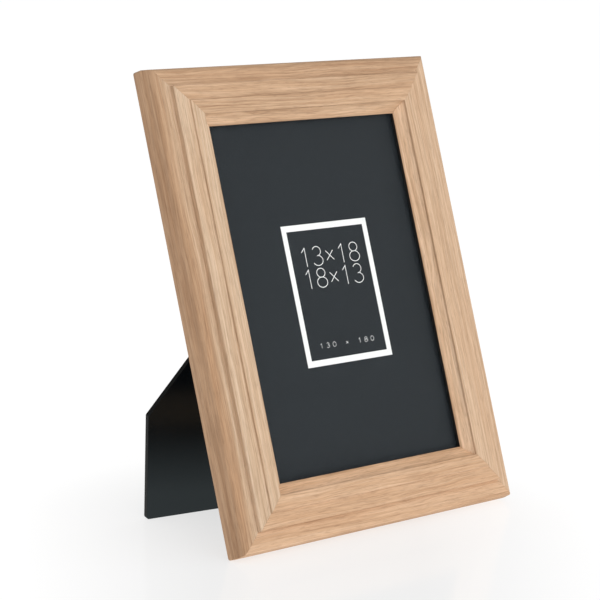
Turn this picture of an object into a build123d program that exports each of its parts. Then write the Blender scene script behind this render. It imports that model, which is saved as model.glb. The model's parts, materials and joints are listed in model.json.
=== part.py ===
from build123d import *
import os
from math import atan2, cos, degrees, radians, sin, sqrt

# Easel back photo frame, millimetres.
# The pieces are drawn upright: X to the right, Y to the back with the back plane of the
# rails at zero, Z up from the bottom edge. At the end the whole frame leans back onto its leg.

# Picture opening and rails
opening_width = 121.0
opening_height = 171.0
rail_width = 30.0
rail_thickness = 16.4
corner_radius = 1.2
arris_radius = 0.35

# Moulding profile, from the sight edge outwards
cove_width = 5.2
cove_rise = 4.1
cove_bend_shares = (0.58, 0.37)
cove_radius_share = 1.8
inner_step = 1.2
band_width = 7.1
groove_drop = 0.7
flat_width = 7.5
flat_fall = 0.8
outer_step = 2.4
shoulder_width = 3.3
shoulder_fall = 0.85
edge_radius = 2.6
edge_limit_share = 0.8
side_height = 4.6
side_slant = 1.4
side_radius = 12.0

# Rebate and the sheets in it
rebate_overlap = 5.0
lip_thickness = 1.6
side_play = 0.5
glass_thickness = 2.0
card_thickness = 0.4
panel_thickness = 3.0
panel_recess = 0.1
panel_corner_radius = 1.5

# V nails across the mitres
nail_arm = 5.5
nail_sheet = 0.5
nail_depth = 8.0
nail_sink = 0.2
nail_insets = (7.0, 17.0)

# Leg hinge
hinge_side = 11.7
hinge_height = 149.7
hinge_tilt = 17.5
leg_open_angle = 29.25
leaf_width = 40.0
leaf_sheet = 0.8
leaf_corner_radius = 2.0
panel_leaf_length = 14.0
leg_leaf_length = 17.0
centre_knuckle_width = 14.0
knuckle_side_gap = 0.3
knuckle_lift = 0.15
leaf_end_gap = 0.4
pin_radius = 0.9
pin_clearance = 0.05
pin_head_radius = 1.3
pin_head_length = 0.4
tongue_width = 8.0
tongue_length = 8.0
stop_gap = 0.05

# Hinge rivets
rivet_radius = 1.5
rivet_head_radius = 2.8
rivet_head_height = 0.7
rivet_sink_radius = 2.3
rivet_bore_radius = 0.8
rivet_bore_depth = 1.2
rivet_spread = 26.0
rivet_inset = 0.1
panel_rivet_reach = 8.5
leg_rivet_reach = 10.0

# Leg board
leg_thickness = 3.0
leg_top_gap = 2.4
leg_top_width = 40.8
foot_corner_side = 40.9
foot_corner_drop = 164.0
landscape_foot_length = 55.3
foot_corner_radius = 1.5
leg_corner_radius = 1.0
leg_arris = 0.25

# Turn buttons and their screws
button_thickness = 1.0
button_lift = 0.1
button_width = 9.0
button_tip_width = 6.0
button_reach = 13.0
button_pivot_inset = 6.5
button_hole_clearance = 0.06
button_arris = 0.2
left_button_heights = (105.0, 178.0)
right_button_heights = (52.0, 178.0)
top_button_sides = (-38.0,)
bottom_button_sides = (32.0,)
screw_radius = 1.3
screw_length = 10.0
screw_point = 2.0
screw_head_radius = 2.8
screw_head_height = 1.5
screw_head_gap = 0.1
screw_cross_width = 0.7
screw_cross_length = 3.0
screw_cross_depth = 0.7

# Saw-tooth hangers and their nails
hanger_length = 45.0
hanger_height = 8.0
hanger_sheet = 0.8
hanger_lug_length = 6.5
hanger_ramp_length = 2.0
hanger_raise = 1.5
hanger_inset = 8.0
tooth_pitch = 3.0
tooth_depth = 1.8
brad_radius = 0.7
brad_length = 8.0
brad_head_radius = 1.7
brad_head_height = 0.6

# Shapes of small heads and points
head_edge_share = 0.33
point_end_share = 0.33

# Play of driven screws, nails and rivets in their holes
driven_clearance = 0.02

# Cutting tools run past what they cut by this much
overrun = 1.0

# Sizes that follow
frame_width = opening_width + 2 * rail_width
frame_height = opening_height + 2 * rail_width
lip_height = rail_thickness - cove_rise - inner_step
rebate_depth = lip_height - lip_thickness
sheet_width = opening_width + 2 * (rebate_overlap - side_play)
sheet_height = opening_height + 2 * (rebate_overlap - side_play)
filler_thickness = rebate_depth - glass_thickness - card_thickness - panel_thickness - panel_recess
knuckle_bore = pin_radius + pin_clearance
knuckle_radius = knuckle_bore + leaf_sheet
axis_over_panel = knuckle_radius + knuckle_lift
axis_over_back = axis_over_panel - panel_recess
leg_face = leaf_sheet - knuckle_radius
leaf_start = knuckle_radius + leaf_end_gap

# Upright directions
RIGHT = Vector(1, 0, 0)
BACK = Vector(0, 1, 0)
UP = Vector(0, 0, 1)


def hinge_frame(opening):
    """Frame on the hinge axis: x along the pin, y down the leaf, z away from the panel."""
    origin = Vector(hinge_side, axis_over_back, hinge_height)
    along = RIGHT * cos(radians(hinge_tilt)) - UP * sin(radians(hinge_tilt))
    down = BACK.cross(along)
    outward = BACK * cos(radians(opening)) - down * sin(radians(opening))
    return Plane(origin=origin, x_dir=along, z_dir=outward)


panel_frame = hinge_frame(0)
leg_frame = hinge_frame(leg_open_angle)
foot_corner = leg_frame.from_local_coords(Vector(-foot_corner_side, foot_corner_drop, leg_face))

# The frame stands on its bottom back edge and the foot, which together give the lean. On
# its left edge it stands in the same way on the other side of the leg's corner.
lean = atan2(foot_corner.Z, foot_corner.Y)
landscape_lean = atan2(foot_corner.X + frame_width / 2, foot_corner.Y)
floor_normal = UP * cos(lean) - BACK * sin(lean)
landscape_normal = RIGHT * cos(landscape_lean) - BACK * sin(landscape_lean)


def rail_profile():
    """Cross-section of a rail, with the outer side on zero height and the back plane on zero."""
    band_start = cove_width
    band_end = band_start + band_width
    flat_end = band_end + flat_width
    shoulder_end = flat_end + shoulder_width
    flat_height = rail_thickness - groove_drop - flat_fall
    shoulder_height = flat_height - outer_step
    cove_bend = (cove_width * cove_bend_shares[0], lip_height + cove_rise * cove_bend_shares[1])
    edge_end = rail_width - side_slant
    edge_round = min(edge_radius, edge_limit_share * (edge_end - shoulder_end))
    corners = [
        ((0, rebate_depth), 0),
        ((0, lip_height), 0),
        (cove_bend, cove_width * cove_radius_share),
        ((cove_width, lip_height + cove_rise), 0),
        ((band_start, rail_thickness), arris_radius),
        ((band_end, rail_thickness), arris_radius),
        ((band_end, rail_thickness - groove_drop), 0),
        ((flat_end, flat_height), arris_radius),
        ((flat_end, shoulder_height), 0),
        ((shoulder_end, shoulder_height), 0),
        ((edge_end, shoulder_height - shoulder_fall), edge_round),
        ((rail_width, side_height), side_radius),
        ((rail_width, 0), 0),
        ((rebate_overlap, 0), 0),
        ((rebate_overlap, rebate_depth), 0),
    ]
    points = [(-height, rail_width - outward) for (outward, height), _ in corners]
    radii = [radius for _, radius in corners]
    return make_face(FilletPolyline(*points, radius=radii, close=True))


def rail_blank(length):
    """A rail lying along X with its outer side down, mitred at both ends."""
    bar = extrude(Plane.YZ * rail_profile(), amount=length / 2, both=True)
    half = length / 2
    ends = [(-half, 0), (half, 0), (half - rail_width, rail_width), (rail_width - half, rail_width)]
    plan = make_face(Polyline(*ends, close=True))
    return bar & extrude(Plane.XZ * plan, amount=rail_thickness, both=True)


def rail_places():
    """Each rail's length and the move from the blank to its side of the frame."""
    middle = frame_height / 2
    return {
        "frame_rail_bottom": (frame_width, Pos(0, 0, 0)),
        "frame_rail_top": (frame_width, Pos(0, 0, frame_height) * Rot(0, 180, 0)),
        "frame_rail_left": (frame_height, Pos(-frame_width / 2, 0, middle) * Rot(0, 90, 0)),
        "frame_rail_right": (frame_height, Pos(frame_width / 2, 0, middle) * Rot(0, -90, 0)),
    }


def frame_outline():
    """The whole frame's outer block, with its four upright corners rounded."""
    outline = RectangleRounded(frame_width, frame_height, corner_radius)
    block = extrude(Plane.XZ * outline, amount=rail_thickness + overrun, both=True)
    return Pos(0, 0, frame_height / 2) * block


def v_nail():
    """One nail, bend on the origin and arms along X and Z, driven forwards from the back."""
    plan = Rectangle(nail_arm, nail_sheet, align=Align.MIN)
    plan += Rectangle(nail_sheet, nail_arm, align=Align.MIN)
    return Pos(0, -nail_sink, 0) * extrude(Plane.XZ * plan, amount=nail_depth)


def v_nails():
    """Two nails across each mitre, bend towards the outer corner."""
    lower_left = [Pos(inset, 0, inset) * v_nail() for inset in nail_insets]
    upper_left = [mirror(nail, about=Plane.XY) for nail in lower_left]
    left = [Pos(-frame_width / 2, 0, 0) * nail for nail in lower_left]
    left += [Pos(-frame_width / 2, 0, frame_height) * nail for nail in upper_left]
    return left + [mirror(nail, about=Plane.YZ) for nail in left]


def sheet(front, thickness, radius=0):
    """A sheet in the rebate, with its front at the given distance in front of the back plane."""
    plan = Rectangle(sheet_width, sheet_height)
    if radius:
        plan = fillet(plan.vertices(), radius)
    body = extrude(Plane.XZ * plan, amount=thickness)
    return Pos(0, thickness - front, frame_height / 2) * body


def domed_head(radius, height):
    """A low domed head that stands on the XY plane."""
    edge = height * head_edge_share
    rise = height - edge
    ball = (radius**2 + rise**2) / (2 * rise)
    middle = (radius / 2, height - ball + sqrt(ball**2 - (radius / 2) ** 2))
    outline = Polyline((0, height), (0, 0), (radius, 0), (radius, edge))
    dome = ThreePointArc((radius, edge), middle, (0, height))
    return revolve(Plane.XZ * make_face([*outline.edges(), dome]), axis=Axis.Z)


def upright_cylinder(radius, low, high):
    """A cylinder along Z from one height to another."""
    return Pos(0, 0, low) * Cylinder(radius, high - low, align=(Align.CENTER, Align.CENTER, Align.MIN))


def driven_hole(radius, length):
    """The hole that a driven shank fills, a little wider and deeper than the shank."""
    return upright_cylinder(radius + driven_clearance, -length - overrun, overrun)


def pointed_shank(radius, length, point):
    """A shank that goes down from the XY plane to a blunt point."""
    straight = upright_cylinder(radius, point - length, 0)
    upright = (Align.CENTER, Align.CENTER, Align.MIN)
    tip = Pos(0, 0, -length) * Cone(radius * point_end_share, radius, point, align=upright)
    return straight + tip


def button_frame(edge, along):
    """Frame of a turn button on its pivot: y towards the panel, z to the back."""
    inset = rail_width - rebate_overlap - button_pivot_inset
    if edge == "left":
        origin, inward = RIGHT * (inset - frame_width / 2) + UP * along, RIGHT
    elif edge == "right":
        origin, inward = RIGHT * (frame_width / 2 - inset) + UP * along, -RIGHT
    elif edge == "top":
        origin, inward = RIGHT * along + UP * (frame_height - inset), -UP
    else:
        origin, inward = RIGHT * along + UP * inset, UP
    return Plane(origin=origin, x_dir=inward.cross(BACK), z_dir=BACK)


def button_frames():
    """Pivot frames of all turn buttons, going round the frame from the lower left."""
    frames = [button_frame("left", along) for along in left_button_heights]
    frames += [button_frame("top", along) for along in top_button_sides]
    frames += [button_frame("right", along) for along in reversed(right_button_heights)]
    frames += [button_frame("bottom", along) for along in bottom_button_sides]
    return frames


def turn_button():
    """A pear-shaped steel button with its pivot on Z and its tip along Y."""
    tip = Pos(0, button_reach - button_tip_width / 2) * Circle(button_tip_width / 2)
    plan = make_hull((Circle(button_width / 2) + tip).edges())
    plan -= Circle(screw_radius + button_hole_clearance)
    body = Pos(0, 0, button_lift) * extrude(plan, amount=button_thickness)
    rim = body.faces().sort_by(Axis.Z)[-1].outer_wire().edges()
    return chamfer(rim, button_arris)


def button_screw():
    """A cross-head screw whose shank passes through the button into the rail."""
    seat = button_lift + button_thickness + screw_head_gap
    shank = Pos(0, 0, seat) * pointed_shank(screw_radius, screw_length + seat, screw_point)
    head = Pos(0, 0, seat) * domed_head(screw_head_radius, screw_head_height)
    bar = Box(screw_cross_length, screw_cross_width, 2 * screw_cross_depth)
    cross = Pos(0, 0, seat + screw_head_height) * (bar + Rot(0, 0, 90) * bar)
    return shank + head - cross


def hanger():
    """A saw-tooth strip on the XY plane: x along the strip, y up, z away from the wood."""
    half = hanger_length / 2
    ramp = half - hanger_lug_length
    bridge = ramp - hanger_ramp_length
    right = [(bridge, hanger_raise), (ramp, 0), (half, 0)]
    left = [(-x, z) for x, z in reversed(right)]
    top = [(x, z + hanger_sheet) for x, z in reversed(left + right)]
    section = make_face(Polyline(*left, *right, *top, close=True))
    strip = extrude(Plane.XZ * section, amount=hanger_height / 2, both=True)
    count = int(2 * bridge / tooth_pitch) - 1
    low_corners = [(-tooth_pitch / 2, -tooth_depth), (tooth_pitch / 2, -tooth_depth)]
    notch = make_face(Polyline(*low_corners, (0, tooth_depth), close=True))
    cutter = extrude(notch, amount=hanger_raise + hanger_sheet + overrun)
    for step in range(count):
        strip -= Pos((step - (count - 1) / 2) * tooth_pitch, -hanger_height / 2, 0) * cutter
    hole = upright_cylinder(brad_radius + driven_clearance, -overrun, hanger_sheet + overrun)
    for spot in hanger_nail_spots():
        strip -= Pos(spot) * hole
    return strip


def hanger_nail_spots():
    """Where a hanger's two nails go, on the strip."""
    reach = (hanger_length - hanger_lug_length) / 2
    return [Vector(-reach, 0, 0), Vector(reach, 0, 0)]


def hanger_frames():
    """Frames of the two hangers: for the upright frame and for the frame on its left edge."""
    top = UP * (frame_height - hanger_inset)
    side = RIGHT * (frame_width / 2 - hanger_inset) + UP * (frame_height / 2)
    return {
        "hanger_portrait": Plane(origin=top, x_dir=-RIGHT, z_dir=BACK),
        "hanger_landscape": Plane(origin=side, x_dir=UP, z_dir=BACK),
    }


def hanger_brad():
    """A small nail whose head sits on the strip."""
    shank = Pos(0, 0, hanger_sheet) * pointed_shank(brad_radius, brad_length, screw_point)
    return shank + Pos(0, 0, hanger_sheet) * domed_head(brad_head_radius, brad_head_height)


def knuckle(width, offset):
    """A rolled barrel round the hinge axis, before boring."""
    return Pos(offset, 0, 0) * Rot(0, 90, 0) * Cylinder(knuckle_radius, width)


def knuckle_bores():
    """The bore that runs through every knuckle."""
    return Rot(0, 90, 0) * Cylinder(knuckle_bore, leaf_width + 2 * overrun)


def leaf_plate(width, near, far, low):
    """A flat part of a leaf from one distance below the axis to another, by its underside."""
    plate = Box(width, far - near, leaf_sheet, align=(Align.CENTER, Align.MIN, Align.MIN))
    return Pos(0, near, low) * plate


def round_far_corners(leaf, far_edge_is_low):
    """Round the two corners of a leaf that lie away from the pin."""
    corners = leaf.edges().filter_by(Axis.Z).sort_by(Axis.Y)
    chosen = corners[:2] if far_edge_is_low else corners[-2:]
    return fillet(chosen, leaf_corner_radius)


def hinge_panel_leaf():
    """The leaf on the panel, above the pin, with an outer knuckle at each end."""
    low = -axis_over_panel
    leaf = leaf_plate(leaf_width, -panel_leaf_length, -leaf_start, low)
    leaf = round_far_corners(leaf, True)
    outer_width = (leaf_width - centre_knuckle_width) / 2 - knuckle_side_gap
    for side in (-1, 1):
        offset = side * (leaf_width - outer_width) / 2
        leaf += Pos(offset, 0, 0) * leaf_plate(outer_width, -leaf_start, 0, low)
        leaf += knuckle(outer_width, offset)
    leaf -= knuckle_bores()
    for hole in rivet_holes(-panel_rivet_reach):
        leaf -= hole
    return panel_frame.location * leaf


def hinge_leg_leaf():
    """The leaf on the leg, below the pin, with the centre knuckle and the stop tongue."""
    low = -knuckle_radius
    leaf = leaf_plate(leaf_width, leaf_start, leg_leaf_length, low)
    leaf = round_far_corners(leaf, False)
    leaf += leaf_plate(centre_knuckle_width, 0, leaf_start, low)
    leaf += knuckle(centre_knuckle_width, 0)
    for spot in rivet_spots(leg_rivet_reach):
        leaf -= spot * rivet_sink(driven_clearance)
    leaf = leg_frame.location * leaf
    tongue = leaf_plate(tongue_width, -tongue_length, 0, leaf_sheet + stop_gap - axis_over_panel)
    leaf += panel_frame.location * tongue
    return leaf - leg_frame.location * knuckle_bores()


def rivet_spots(reach):
    """Where a leaf's two rivets go, by their distance below the axis."""
    return [Pos(side * rivet_spread / 2, reach, 0) for side in (-1, 1)]


def rivet_holes(reach):
    """Holes long enough to pass through a leaf and what it is riveted to."""
    length = axis_over_panel + panel_thickness + leg_thickness + overrun
    hole = upright_cylinder(rivet_radius + driven_clearance, -length, length)
    return [spot * hole for spot in rivet_spots(reach)]


def rivet_sink(play):
    """The countersunk end of a leg rivet, or the seat for it when there is play."""
    upright = (Align.CENTER, Align.CENTER, Align.MIN)
    cone = Cone(rivet_sink_radius + play, rivet_radius + play, leaf_sheet, align=upright)
    return Pos(0, 0, leg_face - leaf_sheet) * cone


def hollow_rivet(end, seat):
    """A rivet whose shank starts at one height and whose bored dome sits at another."""
    rivet = upright_cylinder(rivet_radius, end, seat)
    rivet += Pos(0, 0, seat) * domed_head(rivet_head_radius, rivet_head_height)
    bore_end = seat + rivet_head_height - rivet_bore_depth
    return rivet - upright_cylinder(rivet_bore_radius, bore_end, seat + overrun)


def panel_rivets():
    """Hollow rivets through the panel leaf and the panel, just short of the inside."""
    inside = rivet_inset - axis_over_panel - panel_thickness
    rivet = hollow_rivet(inside, leaf_sheet - axis_over_panel)
    return [panel_frame.location * (spot * rivet) for spot in rivet_spots(-panel_rivet_reach)]


def leg_rivets():
    """Hollow rivets through the leg leaf and the board, with a dome on the back of the board."""
    rivet = hollow_rivet(leg_face, leg_face + leg_thickness) + rivet_sink(0)
    return [leg_frame.location * (spot * rivet) for spot in rivet_spots(leg_rivet_reach)]


def hinge_pin():
    """The hinge pin, with a flat head pressed on each end."""
    pin = Rot(0, 90, 0) * Cylinder(pin_radius, leaf_width + 2 * pin_clearance)
    for side in (-1, 1):
        offset = side * (leaf_width / 2 + pin_clearance + pin_head_length / 2)
        pin += Pos(offset, 0, 0) * Rot(0, 90, 0) * Cylinder(pin_head_radius, pin_head_length)
    return panel_frame.location * pin


def leg_outline():
    """Corners of the leg board on its front face: both feet lie on their floors along their length."""
    corner = Vector(-foot_corner_side, foot_corner_drop)
    normal = leg_frame.z_dir
    foot_line = leg_frame.to_local_coords(foot_corner + normal.cross(floor_normal)) - corner
    side_line = leg_frame.to_local_coords(foot_corner + normal.cross(landscape_normal)) - corner
    foot_run = (leg_top_width / 2 + foot_corner_side) / foot_line.X
    foot_end = (leg_top_width / 2, foot_corner_drop + foot_line.Y * foot_run)
    side_run = -landscape_foot_length / Vector(side_line.X, side_line.Y).length
    if side_line.Y < 0:
        side_run = -side_run
    knee = (side_line.X * side_run - foot_corner_side, foot_corner_drop + side_line.Y * side_run)
    top_left = (-leg_top_width / 2, leg_top_gap)
    top_right = (leg_top_width / 2, leg_top_gap)
    return [top_left, top_right, foot_end, (corner.X, corner.Y), knee]


def leg_board():
    """The leg, a board with a straight foot for each way that the frame stands."""
    radii = [leg_corner_radius] * 3 + [foot_corner_radius, leg_corner_radius]
    plan = make_face(FilletPolyline(*leg_outline(), radius=radii, close=True))
    board = Pos(0, 0, leg_face) * extrude(plan, amount=leg_thickness)
    rim = board.faces().sort_by(Axis.Z)[-1].edges()
    board = chamfer(rim, leg_arris)
    for hole in rivet_holes(leg_rivet_reach):
        board -= hole
    return leg_frame.location * board


def back_panel():
    """The hardboard back, with its rivet holes."""
    panel = sheet(panel_thickness + panel_recess, panel_thickness, panel_corner_radius)
    for hole in rivet_holes(-panel_rivet_reach):
        panel -= panel_frame.location * hole
    return panel


def build_upright():
    """Every piece by node name, on the upright frame."""
    screws = [frame.location * button_screw() for frame in button_frames()]
    hangers = hanger_frames()
    strips = [frame.location for frame in hangers.values()]
    brad_spots = [strip * Pos(spot) for strip in strips for spot in hanger_nail_spots()]
    brads = [spot * hanger_brad() for spot in brad_spots]
    nails = v_nails()
    holes = [frame.location * driven_hole(screw_radius, screw_length) for frame in button_frames()]
    holes += [spot * driven_hole(brad_radius, brad_length) for spot in brad_spots]
    nodes = {}
    for name, (length, place) in rail_places().items():
        rail = (place * rail_blank(length)) & frame_outline()
        for cut in holes + nails:
            rail -= cut
        nodes[name] = rail
    glass_front = rebate_depth
    card_front = glass_front - glass_thickness
    filler_front = card_front - card_thickness
    nodes["glass_pane"] = sheet(glass_front, glass_thickness)
    nodes["insert_card"] = sheet(card_front, card_thickness)
    nodes["filler_board"] = sheet(filler_front, filler_thickness)
    nodes["back_panel"] = back_panel()
    nodes["corner_v_nails"] = Compound(children=nails)
    nodes["hinge_panel_leaf"] = hinge_panel_leaf()
    nodes["hinge_leg_leaf"] = hinge_leg_leaf()
    nodes["hinge_pin"] = hinge_pin()
    nodes["hinge_panel_rivets"] = Compound(children=panel_rivets())
    nodes["hinge_leg_rivets"] = Compound(children=leg_rivets())
    nodes["leg_board"] = leg_board()
    for number, frame in enumerate(button_frames(), 1):
        nodes[f"turn_button_{number}"] = frame.location * turn_button()
    nodes["turn_button_screws"] = Compound(children=screws)
    for name, frame in hangers.items():
        nodes[name] = frame.location * hanger()
    nodes["hanger_nails"] = Compound(children=brads)
    return nodes


def main():
    """Lean the frame back onto its foot, centre it over the origin and write the pieces."""
    nodes = build_upright()
    leaning = Rot(-degrees(lean), 0, 0)
    whole = Compound(children=[leaning * piece for piece in nodes.values()]).bounding_box()
    stand = Pos(0, -(whole.min.Y + whole.max.Y) / 2, 0) * leaning
    os.makedirs("parts", exist_ok=True)
    for name, piece in nodes.items():
        placed = stand * piece
        placed.label = name
        export_step(placed, f"parts/{name}.step")
    print("overall size", whole.size)
    print("lean", degrees(lean), "landscape lean", degrees(landscape_lean))
    print("leg pivot", (stand * Pos(panel_frame.origin)).position)
    for number, frame in enumerate(button_frames(), 1):
        print("button", number, "pivot", (stand * Pos(frame.origin)).position)
    print("hinge axis", (leaning * Pos(panel_frame.x_dir)).position)
    print("back direction", (leaning * Pos(BACK)).position)
    print("up the frame", (leaning * Pos(UP)).position)
    print("bottom face", (stand * Pos(0, -side_height / 2, 0)).position)


main()
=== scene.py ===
"""Easel back photo frame in its finishes: moulded oak rails, glazed insert, wrapped leg, steel fittings.

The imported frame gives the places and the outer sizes. Lengths are in metres, and in millimetres within
a finish. The pieces are drawn on the frame's upright axes, x to the right, y to the back and z up its
height, with the origin in the middle of the opening on the face of the glass, and are then leaned back
with it.
"""

import json
import logging
from collections.abc import Iterator
from contextlib import contextmanager
from dataclasses import dataclass
from enum import Enum
from math import cos, pi, radians, sin, tan

import bmesh
import bpy
from mathutils import Matrix, Vector

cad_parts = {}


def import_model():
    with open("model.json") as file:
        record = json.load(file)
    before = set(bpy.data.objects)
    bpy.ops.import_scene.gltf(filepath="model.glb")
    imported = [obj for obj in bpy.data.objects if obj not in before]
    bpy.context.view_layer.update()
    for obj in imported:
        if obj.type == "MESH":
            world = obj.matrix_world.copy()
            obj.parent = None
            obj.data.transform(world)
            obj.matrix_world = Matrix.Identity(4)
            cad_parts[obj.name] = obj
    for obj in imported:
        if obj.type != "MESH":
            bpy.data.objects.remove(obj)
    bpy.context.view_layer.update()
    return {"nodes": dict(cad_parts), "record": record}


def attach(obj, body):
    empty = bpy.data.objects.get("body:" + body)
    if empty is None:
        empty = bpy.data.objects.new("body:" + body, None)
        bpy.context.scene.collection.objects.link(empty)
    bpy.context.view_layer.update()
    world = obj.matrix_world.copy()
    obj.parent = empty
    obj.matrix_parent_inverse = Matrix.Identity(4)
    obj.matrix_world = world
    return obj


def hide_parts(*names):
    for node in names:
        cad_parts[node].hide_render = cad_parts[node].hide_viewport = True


Material = bpy.types.Material
Mesh = bpy.types.Mesh
Object = bpy.types.Object
Socket = bpy.types.NodeSocket
Colour = tuple[float, float, float, float]
Point = tuple[float, float]
Triple = tuple[float, float, float]

LOG = logging.getLogger("photo_frame")
MILLIMETRE = 0.001
MERGE_DISTANCE = 1e-6
WHITE = (1, 1, 1, 1)

# Angles in degrees: of faces that are joined, of edges that are worn, and of those shaded as sharp
FLAT_ANGLE = 1
WORN_ANGLE = 30
SHARP_ANGLE = 28.0
WORN_SHARP_ANGLE = 20.0
WEAR_STEPS = 2

# Cosine between a sheet's face and the slope at which its rim begins, and how far a sharp mitre may reach
RIM_SLOPE = 0.6
MITRE_LIMIT = 0.4

# Beside each arc a short straight piece keeps the flat next to it flat to the eye
ARC_GUARD = 0.00003


def shade(red: int, green: int, blue: int) -> Colour:
    """Turn a display colour, from 0 to 255, into the linear colour that shaders take.

    Args:
        red, green, blue: The colour as a picture shows it.

    Returns:
        The linear colour with full opacity.
    """
    parts = [value / 255 for value in (red, green, blue)]
    lows = [value / 12.92 if value <= 0.04045 else ((value + 0.055) / 1.055) ** 2.4 for value in parts]
    return (*lows, 1.0)


class Side(Enum):
    """The four rails, each with its place round the opening."""

    BOTTOM = "bottom"
    TOP = "top"
    LEFT = "left"
    RIGHT = "right"

    @property
    def axes(self) -> tuple[Vector, Vector]:
        """Where the rail runs and where its opening side lies, on the upright axes."""
        right, up = Vector((1, 0, 0)), Vector((0, 0, 1))
        return {
            Side.BOTTOM: (right, up),
            Side.TOP: (-right, -up),
            Side.LEFT: (-up, right),
            Side.RIGHT: (up, -right),
        }[self]

    @property
    def node(self) -> str:
        """Name of the rail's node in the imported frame."""
        return f"frame_rail_{self.value}"


@dataclass(frozen=True)
class Stance:
    """The frame's upright axes, and the middle of its opening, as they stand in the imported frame."""

    middle: Vector
    right: Vector
    back: Vector
    up: Vector

    @classmethod
    def from_record(cls, record: dict) -> "Stance":
        """Read the stance from the record's picture opening.

        Args:
            record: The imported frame's record.

        Returns:
            The stance.
        """
        opening = next(mount for mount in record["mounts"] if mount["name"] == "picture_opening")
        back = -Vector(opening["axis"]).normalized()
        right = Vector((1, 0, 0))
        return cls(Vector(opening["pos_m"]), right, back, right.cross(back))

    @property
    def matrix(self) -> Matrix:
        """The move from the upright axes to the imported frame."""
        turn = Matrix((self.right, self.back, self.up)).transposed().to_4x4()
        return Matrix.Translation(self.middle) @ turn

    def reach(self, node: Object) -> tuple[Vector, Vector]:
        """Measure a piece along the upright axes.

        Args:
            node: A piece with its place in its mesh.

        Returns:
            Its lowest and highest corner.
        """
        into = self.matrix.inverted()
        spots = [into @ vertex.co for vertex in node.data.vertices]
        low = Vector(min(spot[axis] for spot in spots) for axis in range(3))
        high = Vector(max(spot[axis] for spot in spots) for axis in range(3))
        return low, high


class NodeSketch:
    """Short calls that add and wire the nodes of one tree."""

    def __init__(self, tree: bpy.types.NodeTree) -> None:
        """Start on an existing tree."""
        self.tree = tree

    def add(self, kind: str, feeds: dict | None = None, **settings: object) -> bpy.types.Node:
        """Add a node, set it up and feed its inputs.

        Args:
            kind: The node's type name.
            feeds: Sockets or plain values, by input name or number.
            settings: The node's own properties.

        Returns:
            The new node.
        """
        node = self.tree.nodes.new(kind)
        for name, value in settings.items():
            setattr(node, name, value)
        for key, value in (feeds or {}).items():
            if isinstance(value, Socket):
                self.tree.links.new(value, node.inputs[key])
            else:
                node.inputs[key].default_value = value
        return node

    def math(self, operation: str, *values: object) -> Socket:
        """Work out one number from sockets or plain numbers."""
        return self.add("ShaderNodeMath", dict(enumerate(values)), operation=operation).outputs[0]

    def plus(self, first: object, second: object) -> Socket:
        """Add two numbers."""
        return self.math("ADD", first, second)

    def minus(self, first: object, second: object) -> Socket:
        """Take the second number from the first."""
        return self.math("SUBTRACT", first, second)

    def times(self, first: object, second: object) -> Socket:
        """Multiply two numbers."""
        return self.math("MULTIPLY", first, second)

    def most(self, first: object, second: object) -> Socket:
        """The larger of two numbers."""
        return self.math("MAXIMUM", first, second)

    def remap(self, value: object, start: Point, end: tuple[object, object]) -> Socket:
        """Map a number from one range to another, held at its ends."""
        feeds = {0: value, 1: start[0], 2: start[1], 3: end[0], 4: end[1]}
        return self.add("ShaderNodeMapRange", feeds).outputs[0]

    def blend_numbers(self, factor: object, under: object, over: object) -> Socket:
        """Go from one number to another by a factor from 0 to 1."""
        return self.add("ShaderNodeMix", {0: factor, 2: under, 3: over}).outputs[0]

    def parts(self, vector: object) -> list[Socket]:
        """Split a vector into its three numbers."""
        return list(self.add("ShaderNodeSeparateXYZ", {0: vector}).outputs)

    def join(self, x: object, y: object, z: object) -> Socket:
        """Make a vector of three numbers."""
        return self.add("ShaderNodeCombineXYZ", {0: x, 1: y, 2: z}).outputs[0]


@dataclass(frozen=True)
class Grain:
    """A layer of noise, by how often it changes in a millimetre along each axis, and how fine it is."""

    scale: Triple
    detail: float = 2.0
    roughness: float = 0.5
    distortion: float = 0.0


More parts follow.
